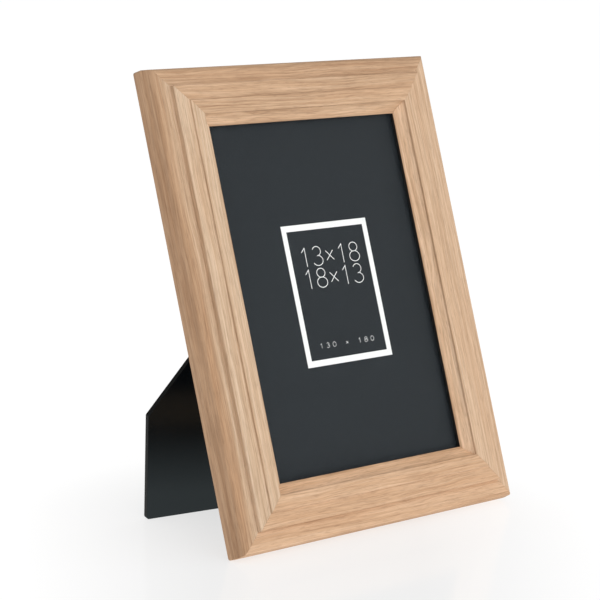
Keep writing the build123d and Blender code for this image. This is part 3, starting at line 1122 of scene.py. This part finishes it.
    def build(self) -> None:
        """Make the four rails, each from its own stretch of oak."""
        lip_shade = LIP_SHADE.material()
        cove = (self.section.rail_width - self.section.cove_width) / MILLIMETRE
        for side, look in RAIL_LOOKS.items():
            into = self.rail_matrix(side).inverted()
            oak = OakFinish(f"oak_{side.value}", into, look, cove, self.creases(look)).material()
            mesh = self.slotted(self.rail_mesh(side, oak, lip_shade))
            add_piece(f"rail_{side.value}", mesh, self.body, [side.node])


@dataclass(frozen=True)
class SoftBox:
    """A square studio lamp that looks at the frame."""

    name: str
    place: Triple
    size: float
    level: float

    def build(self, aim: Vector) -> None:
        """Hang the lamp, with a power that lights the aim to its level.

        Args:
            aim: The point that it looks at.
        """
        way = aim - Vector(self.place)
        light = bpy.data.lights.new(self.name, "AREA")
        light.shape = "SQUARE"
        light.size = self.size
        light.energy = self.level * (pi * way.length) ** 2
        lamp = stand(self.name, light)
        lamp.location = self.place
        lamp.rotation_euler = way.to_track_quat("-Z", "Y").to_euler()
        lamp.visible_glossy = False
        lamp.visible_transmission = False


@dataclass(frozen=True)
class Studio:
    """Pale floor, soft lamps, white surroundings and the camera.

    Angles are in degrees, and the floor's glow is laid out in millimetres. To the camera it brightens away
    from the frame, so that it is lower near it as painted shade, and in mirrors it is missing between two
    fades, measured from the line of the foot, as a painted shadow round the foot.
    """

    aim: Triple = (0, 0, 0.11)
    camera_place: Triple = (-0.78939, -0.85149, 0.29290)
    heading: float = 42.405
    dip: float = 9.070
    roll: float = 0.240
    lens: float = 144.0
    film: float = 36.0
    floor_radius: float = 12.0
    floor_steps: int = 96
    fill: float = 0.80
    mirrored: float = 0.3
    bounce: float = 0.95
    board: Colour = (0.25, 0.25, 0.25, 1)
    gloss_share: float = 0.08
    gloss_roughness: float = 0.12
    # Glow to the camera: low near the frame as painted shade, high further away; near_share stretches that
    # shade towards the camera
    glow: Point = (0.69, 0.84)
    glow_reach: Point = (50.0, 150.0)
    near_share: float = 0.12
    # Between these fades about the line of the foot the glow is missing in mirrors: a painted shadow round
    # the frame's foot
    foot_line: float = -36.0
    fade_out: Point = (-16.0, -8.0)
    fade_in: Point = (5.0, 60.0)
    lamps: tuple[SoftBox, ...] = (
        SoftBox("key_lamp", (1.5, -1.9, 0.6), 2.6, 0.25),
        SoftBox("front_lamp", (-0.6, -2.2, 1.2), 2.2, 0.30),
    )

    def build(self) -> None:
        """Set the whole stage round the object."""
        self.build_camera()
        self.build_world()
        self.build_floor()
        for lamp in self.lamps:
            lamp.build(Vector(self.aim))

    def build_camera(self) -> None:
        """Stand the camera where the reference view was taken."""
        data = bpy.data.cameras.new("view_camera")
        data.lens = self.lens
        data.sensor_width = self.film
        camera = stand("view_camera", data)
        camera.location = self.camera_place
        turns = ((-self.heading, "Z"), (90 - self.dip, "X"), (self.roll, "Z"))
        heading, dip, roll = (Matrix.Rotation(radians(angle), 3, axis) for angle, axis in turns)
        camera.rotation_euler = (heading @ dip @ roll).to_euler()
        bpy.context.scene.camera = camera

    def build_world(self) -> None:
        """White surroundings to look at, and a softer level to light the object."""
        world = bpy.data.worlds.new("studio")
        world.use_nodes = True
        bpy.context.scene.world = world
        world.node_tree.nodes.clear()
        sketch = NodeSketch(world.node_tree)
        path = sketch.add("ShaderNodeLightPath").outputs
        bent = sketch.most(path["Is Glossy Ray"], path["Is Transmission Ray"])
        bent = sketch.most(sketch.minus(bent, sketch.math("MINIMUM", path["Diffuse Depth"], 1.0)), 0.0)
        level = sketch.blend_numbers(bent, self.fill, self.mirrored)
        level = sketch.blend_numbers(path["Is Camera Ray"], level, 1.0)
        surface = sketch.add("ShaderNodeBackground", {"Strength": level}).outputs[0]
        sketch.add("ShaderNodeOutputWorld", {"Surface": surface})

    def build_floor(self) -> None:
        """A round white floor with painted shade near the frame, and a faint gloss."""
        mesh = bpy.data.meshes.new("floor")
        with editing(mesh) as work:
            bmesh.ops.create_circle(work, cap_ends=True, segments=self.floor_steps, radius=self.floor_radius)
        mesh.materials.append(self.floor_material())
        floor = stand("floor", mesh)

    def floor_material(self) -> Material:
        """White board with a soft glow, so that it looks white while it keeps the shadow."""
        sketch = ShaderSketch("floor_white")
        path = sketch.add("ShaderNodeLightPath").outputs
        diffuse = sketch.shader("BsdfDiffuse", Color=self.board)
        gloss = sketch.shader("BsdfGlossy", Color=WHITE, Roughness=self.gloss_roughness)
        board = sketch.add("ShaderNodeMixShader", {0: self.gloss_share, 1: diffuse, 2: gloss}).outputs[0]
        # Painted shade: the glow that the camera sees is lower near the frame and in front of it
        side, ahead, height = sketch.parts(sketch.place(Matrix.Rotation(radians(self.heading), 4, "Z")))
        spot = sketch.join(side, sketch.most(ahead, sketch.times(ahead, self.near_share)), height)
        reach = sketch.add("ShaderNodeVectorMath", {0: spot}, operation="LENGTH").outputs["Value"]
        camera_glow_with_painted_shade = sketch.remap(reach, self.glow_reach, self.glow)
        level = sketch.blend_numbers(path["Is Camera Ray"], self.bounce, camera_glow_with_painted_shade)
        # Painted shadow: in mirrors the glow is missing round the frame's foot
        away = sketch.minus(sketch.parts(sketch.place())[1], self.foot_line)
        before = sketch.remap(away, self.fade_out, (1.0, 0.0))
        behind = sketch.remap(away, self.fade_in, (0.0, 1.0))
        shown = sketch.blend_numbers(path["Is Glossy Ray"], 1.0, sketch.plus(before, behind))
        glow = sketch.shader("Emission", Color=WHITE, Strength=sketch.times(level, shown))
        return sketch.finish(sketch.add("ShaderNodeAddShader", {0: board, 1: glow}).outputs[0])


class Glyph(Enum):
    """Signs of the printed lines, as thin strokes in a cell one unit wide and one high."""

    ZERO = "0"
    ONE = "1"
    THREE = "3"
    EIGHT = "8"
    BY = "x"

    @property
    def strokes(self) -> list[tuple[bool, list[Point]]]:
        """The sign's strokes, each with whether it closes on itself."""
        upper = oval((0.48, 0.755), (0.38, 0.245), 155, -90)
        lower = oval((0.48, 0.265), (0.46, 0.265), 90, -155)[1:]
        return {
            Glyph.ZERO: [(True, oval((0.5, 0.5), (0.48, 0.5), 0, 360)[:-1])],
            Glyph.ONE: [(False, [(0.24, 0.76), (0.56, 0.98), (0.56, 0.0)])],
            Glyph.THREE: [(False, upper + lower)],
            Glyph.EIGHT: [
                (True, oval((0.5, 0.765), (0.38, 0.235), 0, 360)[:-1]),
                (True, oval((0.5, 0.27), (0.47, 0.27), 0, 360)[:-1]),
            ],
            Glyph.BY: [(False, [(0.16, 0.22), (0.84, 0.72)]), (False, [(0.16, 0.72), (0.84, 0.22)])],
        }[self]


def oval(centre: Point, radii: Point, start: float, end: float, steps: int = 28) -> list[Point]:
    """Points along an oval from one angle in degrees to another."""
    angles = [radians(start + (end - start) * step / steps) for step in range(steps + 1)]
    return [(centre[0] + radii[0] * cos(angle), centre[1] + radii[1] * sin(angle)) for angle in angles]


def ribbon(work: bmesh.types.BMesh, path: list[Point], width: float, closed: bool, depths: Point) -> None:
    """Draw a mitred stroke as a thin raised strip.

    Args:
        work: The mesh that takes the strip.
        path: The stroke's middle line, by side and height.
        width: Its width.
        closed: Whether its end meets its start.
        depths: Its front and its back, along the depth.
    """
    rings = []
    for index, spot in enumerate(path):
        here = Vector(spot)
        ways = []
        if closed or index:
            ways.append((here - Vector(path[index - 1])).normalized())
        if closed or index + 1 < len(path):
            ways.append((Vector(path[(index + 1) % len(path)]) - here).normalized())
        along = sum(ways, Vector((0, 0))).normalized()
        across = Vector((-along.y, along.x)) * width / 2 / max(along.dot(ways[0]), MITRE_LIMIT)
        near, far = here + across, here - across
        corners = [(near, depths[0]), (far, depths[0]), (far, depths[1]), (near, depths[1])]
        rings.append([work.verts.new((flat.x, depth, flat.y)) for flat, depth in corners])
    pairs = list(zip(rings, rings[1:]))
    if closed:
        pairs.append((rings[-1], rings[0]))
    else:
        work.faces.new(rings[0])
        work.faces.new(rings[-1][::-1])
    for near, far in pairs:
        for corner in range(4):
            following = (corner + 1) % 4
            work.faces.new((near[corner], far[corner], far[following], near[following]))


@dataclass(frozen=True)
class PrintedLine:
    """A row of signs, centred in the opening."""

    signs: str
    width: float
    height: float
    foot: float
    stroke: float
    cell_share: float

    def draw(self, work: bmesh.types.BMesh, depths: Point) -> None:
        """Draw the row's signs, each in its own cell.

        Args:
            work: The mesh that takes them.
            depths: Their front and their back.
        """
        pitch = self.width / len(self.signs)
        cell = pitch * self.cell_share
        for index, sign in enumerate(self.signs):
            if sign == " ":
                continue
            left = index * pitch - self.width / 2 + (pitch - cell) / 2
            for closed, path in Glyph(sign).strokes:
                placed = [(left + x * cell, self.foot + y * self.height) for x, y in path]
                ribbon(work, placed, self.stroke, closed, depths)


@dataclass
class CardPrint:
    """White print on the card: an upright outline with the picture's sizes in it."""

    stance: Stance
    front: float
    width: float = 0.0562
    height: float = 0.0692
    border: float = 0.003
    ink: float = 0.00002
    offset: Triple = (0.0018, 0.0, 0.0002)
    lines: tuple[PrintedLine, ...] = (
        PrintedLine("13x18", 0.0405, 0.0094, 0.0138, 0.00034, 0.86),
        PrintedLine("18x13", 0.0405, 0.0094, 0.0030, 0.00034, 0.86),
        PrintedLine("130 x 180", 0.0380, 0.0023, -0.0262, 0.0002, 0.50),
    )

    def build(self) -> None:
        """Lay the ink on the card."""
        depths = (self.front - self.ink, self.front + self.ink)
        side, top = (self.width - self.border) / 2, (self.height - self.border) / 2
        mesh = bpy.data.meshes.new("print")
        with editing(mesh) as work:
            ribbon(work, [(-side, -top), (side, -top), (side, top), (-side, top)], self.border, True, depths)
            for line in self.lines:
                line.draw(work, depths)
        turn_outwards(mesh)
        mesh.transform(self.stance.matrix @ Matrix.Translation(self.offset))
        dress(mesh, WHITE_INK.material())
        add_piece("card_print", mesh, "frame", [])


@dataclass
class Insert:
    """What lies in the rebate: glass, printed card, filler board and back panel."""

    stance: Stance
    nodes: dict[str, Object]
    air_gap: float = 0.00005
    sheet_edge_share: float = 0.12
    flute_pitch: float = 0.0065
    flute_steps: int = 10
    flute_clearance_share: float = 2.2
    paper: float = 0.00028
    panel_wear: float = 0.0003
    body: str = "frame"

    def plate(self, node: str, name: str, low_cut: float, high_cut: float) -> Mesh:
        """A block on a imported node's bounds, cut back at the front and at the back.

        Args:
            node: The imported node.
            name: Name of the mesh.
            low_cut: How much is taken off the front.
            high_cut: How much is taken off the back.

        Returns:
            The block's mesh with softened edges, in its place.
        """
        low, high = self.stance.reach(self.nodes[node])
        low.y += low_cut
        high.y -= high_cut
        size = high - low
        edge = min(size) * self.sheet_edge_share
        mesh = bpy.data.meshes.new(name)
        with editing(mesh) as work:
            bmesh.ops.create_cube(work, size=1.0)
            bmesh.ops.scale(work, vec=size, verts=work.verts)
            bmesh.ops.translate(work, vec=(low + high) / 2, verts=work.verts)
            bmesh.ops.bevel(work, geom=list(work.edges), offset=edge, segments=1, affect="EDGES", profile=0.5)
        mesh.transform(self.stance.matrix)
        return mesh

    def fluted(self, sketch: GeometrySketch, size: Vector, inputs: dict[str, Socket]) -> list[Socket]:
        """The waved sheet of a corrugated board.

        Args:
            sketch: The tree.
            size: The board's size.
            inputs: The tree's inputs by name.

        Returns:
            The sheet's front and the rest of it.
        """
        steps = int(size.x / self.flute_pitch) * self.flute_steps
        feeds = {"Size X": inputs["Width"], "Size Y": inputs["Height"]}
        feeds |= {"Vertices X": steps + 1, "Vertices Y": 2}
        sheet = sketch.add("GeometryNodeMeshGrid", feeds).outputs["Mesh"]
        across = sketch.parts(sketch.add("GeometryNodeInputPosition").outputs[0])[0]
        turns = sketch.math("DIVIDE", across, inputs["Flute Pitch"])
        wave = sketch.math("SINE", sketch.times(turns, 2 * pi))
        clearance = sketch.times(inputs["Paper"], self.flute_clearance_share)
        swing = sketch.minus(sketch.times(inputs["Depth"], 0.5), clearance)
        offset = sketch.join(0.0, 0.0, sketch.times(wave, swing))
        waved = sketch.add("GeometryNodeSetPosition", {"Geometry": sheet, "Offset": offset}).outputs[0]
        lift = sketch.join(0.0, 0.0, inputs["Paper"])
        feeds = {"Mesh": waved, "Offset": lift, "Offset Scale": 1.0, "Individual": False}
        return [waved, sketch.add("GeometryNodeExtrudeMesh", feeds).outputs[0]]

    def corrugated(self, material: Material) -> Mesh:
        """Two flat liners with a waved sheet between them, made by a rule.

        Args:
            material: The board's finish.

        Returns:
            The filler board's mesh, in its place.
        """
        low, high = self.stance.reach(self.nodes["filler_board"])
        size = high - low
        sketch = GeometrySketch("corrugated_board")
        values = {
            "Width": size.x,
            "Height": size.z,
            "Depth": size.y,
            "Flute Pitch": self.flute_pitch,
            "Paper": self.paper,
            "Finish": material,
        }
        inputs = {name: sketch.input(name, value) for name, value in values.items()}
        parts = self.fluted(sketch, size, inputs)
        sheet = sketch.join(inputs["Width"], inputs["Height"], inputs["Paper"])
        middle = sketch.times(sketch.minus(inputs["Depth"], inputs["Paper"]), 0.5)
        for way in (-1.0, 1.0):
            liner = sketch.add("GeometryNodeMeshCube", {"Size": sheet}).outputs["Mesh"]
            spot = sketch.join(0.0, 0.0, sketch.times(middle, way))
            feeds = {"Geometry": liner, "Translation": spot}
            parts.append(sketch.add("GeometryNodeTransform", feeds).outputs[0])
        joined = sketch.add("GeometryNodeJoinGeometry")
        for part in parts:
            sketch.tree.links.new(part, joined.inputs[0])
        mesh = sketch.mesh("corrugated_filler", joined.outputs[0], inputs["Finish"])
        turn = Matrix(((1, 0, 0), (0, 0, 1), (0, 1, 0))).to_4x4()
        mesh.transform(self.stance.matrix @ Matrix.Translation((low + high) / 2) @ turn)
        turn_outwards(mesh)
        return mesh

    def build(self) -> None:
        """Make the glass, the card with its print, the filler and the back panel."""
        pane = self.plate("glass_pane", "pane", 0.0, self.air_gap)
        dress(pane, PaneGlass("picture_glass").material())
        add_piece("pane", pane, self.body, ["glass_pane"])
        card = self.plate("insert_card", "card", self.air_gap, 0.0)
        dress(card, CHARCOAL.material())
        add_piece("card", card, self.body, ["insert_card"])
        front = self.stance.reach(self.nodes["insert_card"])[0].y + self.air_gap
        CardPrint(self.stance, front).build()
        filler = self.corrugated(KRAFT.material())
        add_piece("filler", filler, self.body, ["filler_board"])
        panel = softened(self.nodes["back_panel"], "panel", self.panel_wear)
        dress(panel, HARDBOARD.material())
        add_piece("panel", panel, self.body, ["back_panel"], WORN_SHARP_ANGLE)


@dataclass(frozen=True)
class Fitting:
    """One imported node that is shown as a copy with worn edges, in the finish of its slot."""

    node: str
    body: str
    slot: str
    wear: float
    smooth: float = WORN_SHARP_ANGLE
    rim: str = ""


@dataclass
class Fittings:
    """The leg, its hinge, the turn buttons, the hangers and what is driven through them."""

    stance: Stance
    nodes: dict[str, Object]
    seed: int = 5
    parts: tuple[Fitting, ...] = (
        Fitting("leg_board", "leg", "black_board", 0.00012, 10.0, "black_rim"),
        Fitting("hinge_panel_leaf", "frame", "zinc_steel", 0.00008),
        Fitting("hinge_leg_leaf", "leg", "zinc_steel", 0.00008),
        Fitting("hanger_portrait", "frame", "hanger_steel", 0.00008),
        Fitting("hanger_landscape", "frame", "hanger_steel", 0.00008),
        *(Fitting(f"turn_button_{n}", f"button_{n}", "button_steel", 0.00006) for n in range(1, 7)),
    )

    @staticmethod
    def finishes() -> dict[str, Material]:
        """The finishes, most of them by the slot that they belong to."""
        wanted = {
            "black_board": LEG_PAPER,
            "black_rim": LEG_RIM,
            "zinc_steel": ZINC,
            "button_steel": BUTTON,
            "screw_steel": SCREW,
            "hanger_steel": BRASS,
            "nail_steel": NAIL,
        }
        return {slot: finish.material() for slot, finish in wanted.items()}

    def models(self, node: str, name: str) -> tuple[Mesh, Mesh]:
        """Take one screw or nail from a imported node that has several, and the places of all of them.

        Args:
            node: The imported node.
            name: Name of the mesh.

        Returns:
            A mesh with one of them at the origin, and one with their places as points, on the upright axes.
        """
        mesh = merged_copy(self.nodes[node], name)
        mesh.transform(self.stance.matrix.inverted())
        groups = islands(mesh)
        spots = [sum((mesh.vertices[index].co for index in group), Vector()) / len(group) for group in groups]
        spots = [Vector((spot.x, 0, spot.z)) for spot in spots]
        points = bpy.data.meshes.new(name + "_spots")
        points.from_pydata(spots, [], [])
        with editing(mesh) as work:
            work.verts.ensure_lookup_table()
            others = [work.verts[index] for group in groups[1:] for index in group]
            bmesh.ops.delete(work, geom=others, context="VERTS")
            bmesh.ops.translate(work, vec=-spots[0], verts=work.verts)
        return mesh, points

    def driven(self, node: str, name: str, material: Material) -> Mesh:
        """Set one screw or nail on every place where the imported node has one, each turned at random.

        Args:
            node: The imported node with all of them.
            name: Name of the mesh.
            material: Their finish.

        Returns:
            The mesh with all of them, in its place.
        """
        one, points = self.models(node, name)
        sketch = GeometrySketch(name)
        places = sketch.input("Places", bpy.data.objects.new(name + "_spots", points))
        model = sketch.input("Model", bpy.data.objects.new(name + "_model", one))
        seed = sketch.input("Seed", self.seed)
        finish = sketch.input("Finish", material)
        source = sketch.add("GeometryNodeObjectInfo", {"Object": places}).outputs["Geometry"]
        cloud = sketch.add("GeometryNodeMeshToPoints", {0: source}).outputs[0]
        feeds = {2: 0.0, 3: 2 * pi, "Seed": seed}
        angle = sketch.add("FunctionNodeRandomValue", feeds, data_type="FLOAT").outputs[1]
        turned = sketch.join(0.0, angle, 0.0)
        shape = sketch.add("GeometryNodeObjectInfo", {"Object": model}).outputs["Geometry"]
        feeds = {"Points": cloud, "Instance": shape, "Rotation": turned}
        made = sketch.add("GeometryNodeInstanceOnPoints", feeds).outputs[0]
        result = sketch.mesh(name, made, finish)
        result.transform(self.stance.matrix)
        return result

    def build(self) -> None:
        """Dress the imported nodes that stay, and make worn copies of the others."""
        finishes = self.finishes()
        for name in ("hinge_pin", "hinge_panel_rivets", "hinge_leg_rivets"):
            dress(self.nodes[name].data, finishes["zinc_steel"])
        dress(self.nodes["corner_v_nails"].data, finishes["nail_steel"])
        for part in self.parts:
            mesh = softened(self.nodes[part.node], part.node, part.wear)
            dress(mesh, finishes[part.slot])
            if part.rim:
                trim(mesh, finishes[part.rim])
            add_piece("worn_" + part.node, mesh, part.body, [part.node], part.smooth)
        driven = {
            "button_screws": ("turn_button_screws", "screw_steel"),
            "hanger_brads": ("hanger_nails", "hanger_steel"),
        }
        for name, (node, slot) in driven.items():
            add_piece(name, self.driven(node, name, finishes[slot]), "frame", [node])


def main() -> None:
    """Load the frame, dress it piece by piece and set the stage."""
    logging.basicConfig(level=logging.INFO, format="%(message)s")
    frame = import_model()
    bpy.context.scene.view_settings.view_transform = "Standard"
    nodes = frame["nodes"]
    stance = Stance.from_record(frame["record"])
    OakFrame(stance, nodes).build()
    Insert(stance, nodes).build()
    Fittings(stance, nodes).build()
    Studio().build()


if __name__ == "__main__":
    main()
